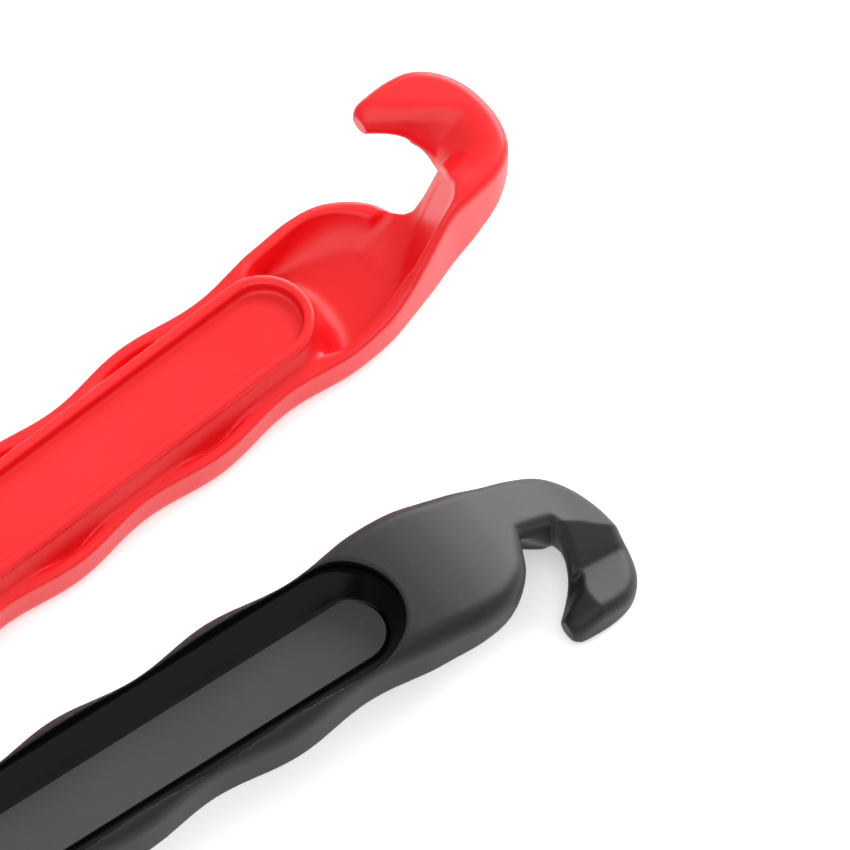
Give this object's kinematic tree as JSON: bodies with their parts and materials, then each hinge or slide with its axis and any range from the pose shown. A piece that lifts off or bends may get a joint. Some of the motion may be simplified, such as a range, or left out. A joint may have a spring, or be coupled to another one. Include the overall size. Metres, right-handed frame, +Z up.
{
  "type": "bicycle tyre levers",
  "caption": "Moulded plastic bicycle tyre levers with scalloped hollow handles, prying blades and offset spoke hooks, laid side by side, one turned over",
  "frame": {"origin": "on the table, under the middle of the rectangle that the pair covers", "axes": "+X along the black lever from blade to hook, +Y from the black lever towards the red one, +Z up from the table"},
  "size_m": [0.1432, 0.067, 0.0164],
  "materials": {
    "black_nylon": "fine-textured moulded black nylon with smooth glossier pocket walls",
    "grey_inlay": "plain matte dark grey inlay, no marking",
    "red_nylon": "semi-gloss moulded red nylon, slightly translucent at thin edges",
    "red_inlay": "plain matte red inlay, no marking"
  },
  "bodies": {
    "black_lever_body": {"black_lever": "black_nylon", "black_panel": "grey_inlay"},
    "red_lever_body": {"red_lever": "red_nylon", "red_panel": "red_inlay"}
  },
  "joints": [
    {"name": "red_lever_lift", "type": "slide", "parent": "black_lever_body", "child": "red_lever_body", "axis": [0, 0, 1], "range_m": [0, 0.06]}
  ]
}
